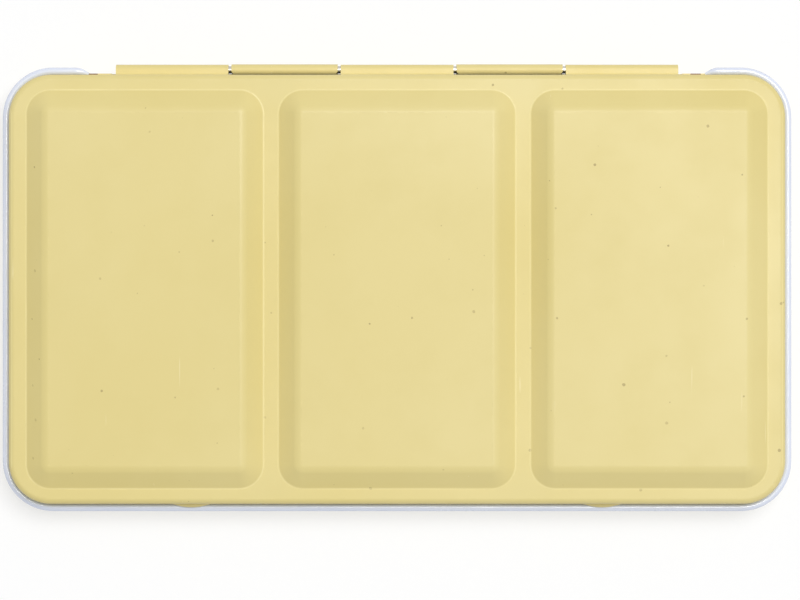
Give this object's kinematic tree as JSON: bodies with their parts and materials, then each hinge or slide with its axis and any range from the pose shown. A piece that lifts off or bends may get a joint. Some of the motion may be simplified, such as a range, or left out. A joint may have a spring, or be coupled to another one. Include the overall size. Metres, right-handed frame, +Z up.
{
  "type": "watercolour paint tin",
  "caption": "Flat hinged tin for watercolours: its lid opens as a palette of wells over racks of filled pans, with a brush trough and a folding thumb ring below.",
  "frame": {"origin": "centre of the underside's bounding box, on the surface that the shut tin stands on", "axes": "+X along the hinge, +Y towards the hinge at the back, +Z up"},
  "size_m": [0.214, 0.1212, 0.0228],
  "materials": {
    "yellow_paint": "satin stoved enamel, yellow outside and white inside",
    "white_enamel": "white enamel inside and over the rim, yellow outside",
    "rack_steel": "white enamel on folded sheet",
    "wire_steel": "bright drawn wire",
    "strap_steel": "tinned sheet",
    "pan_plastic": "white moulded plastic",
    "handle_wood": "lacquered wood",
    "ferrule_metal": "polished, with two crimps",
    "brush_hair": "brown hair drawn to a point",
    "white_cake": "pressed watercolour, slightly glossy",
    "lemon_cake": "pressed watercolour, slightly glossy",
    "yellow_cake": "pressed watercolour, slightly glossy",
    "yellow_orange_cake": "pressed watercolour, slightly glossy",
    "orange_cake": "pressed watercolour, slightly glossy",
    "vermilion_cake": "pressed watercolour, slightly glossy",
    "crimson_cake": "pressed watercolour, slightly glossy",
    "magenta_cake": "pressed watercolour, slightly glossy",
    "violet_cake": "pressed watercolour, slightly glossy",
    "lilac_cake": "pressed watercolour, slightly glossy",
    "ultramarine_cake": "pressed watercolour, slightly glossy",
    "cobalt_cake": "pressed watercolour, slightly glossy",
    "sky_blue_cake": "pressed watercolour, slightly glossy",
    "turquoise_cake": "pressed watercolour, slightly glossy",
    "deep_green_cake": "pressed watercolour, slightly glossy",
    "green_cake": "pressed watercolour, slightly glossy",
    "light_green_cake": "pressed watercolour, slightly glossy",
    "olive_cake": "pressed watercolour, slightly glossy",
    "yellow_ochre_cake": "pressed watercolour, slightly glossy",
    "light_red_cake": "pressed watercolour, slightly glossy",
    "burnt_umber_cake": "pressed watercolour, slightly glossy",
    "sepia_cake": "pressed watercolour, slightly glossy",
    "grey_cake": "pressed watercolour, slightly glossy",
    "black_cake": "pressed watercolour, slightly glossy"
  },
  "bodies": {
    "base": {"base_tin": "white_enamel", "front_pan_rack": "rack_steel", "back_pan_rack": "rack_steel", "pan_01": "pan_plastic", "pan_02": "pan_plastic", "pan_03": "pan_plastic", "pan_04": "pan_plastic", "pan_05": "pan_plastic", "pan_06": "pan_plastic", "pan_07": "pan_plastic", "pan_08": "pan_plastic", "pan_09": "pan_plastic", "pan_10": "pan_plastic", "pan_11": "pan_plastic", "pan_12": "pan_plastic", "pan_13": "pan_plastic", "pan_14": "pan_plastic", "pan_15": "pan_plastic", "pan_16": "pan_plastic", "pan_17": "pan_plastic", "pan_18": "pan_plastic", "pan_19": "pan_plastic", "pan_20": "pan_plastic", "pan_21": "pan_plastic", "pan_22": "pan_plastic", "pan_23": "pan_plastic", "pan_24": "pan_plastic", "paint_01": "white_cake", "paint_02": "lemon_cake", "paint_03": "yellow_cake", "paint_04": "yellow_orange_cake", "paint_05": "orange_cake", "paint_06": "vermilion_cake", "paint_07": "crimson_cake", "paint_08": "magenta_cake", "paint_09": "violet_cake", "paint_10": "lilac_cake", "paint_11": "ultramarine_cake", "paint_12": "cobalt_cake", "paint_13": "sky_blue_cake", "paint_14": "turquoise_cake", "paint_15": "deep_green_cake", "paint_16": "green_cake", "paint_17": "light_green_cake", "paint_18": "olive_cake", "paint_19": "yellow_ochre_cake", "paint_20": "light_red_cake", "paint_21": "burnt_umber_cake", "paint_22": "sepia_cake", "paint_23": "grey_cake", "paint_24": "black_cake", "brush_handle": "handle_wood", "brush_ferrule": "ferrule_metal", "brush_bristles": "brush_hair", "ring_strap": "strap_steel"},
    "lid": {"lid": "yellow_paint", "hinge_pin": "wire_steel"},
    "thumb_ring": {"thumb_ring": "wire_steel"}
  },
  "joints": [
    {"name": "lid_hinge", "type": "hinge", "parent": "base", "child": "lid", "pos_m": [0, 0.05912, 0.013], "axis": [-1, 0, 0], "range_deg": [0, 180]},
    {"name": "ring_hinge", "type": "hinge", "parent": "base", "child": "thumb_ring", "pos_m": [0, 0.012, 0.00164], "axis": [1, 0, 0], "range_deg": [0, 180]}
  ]
}
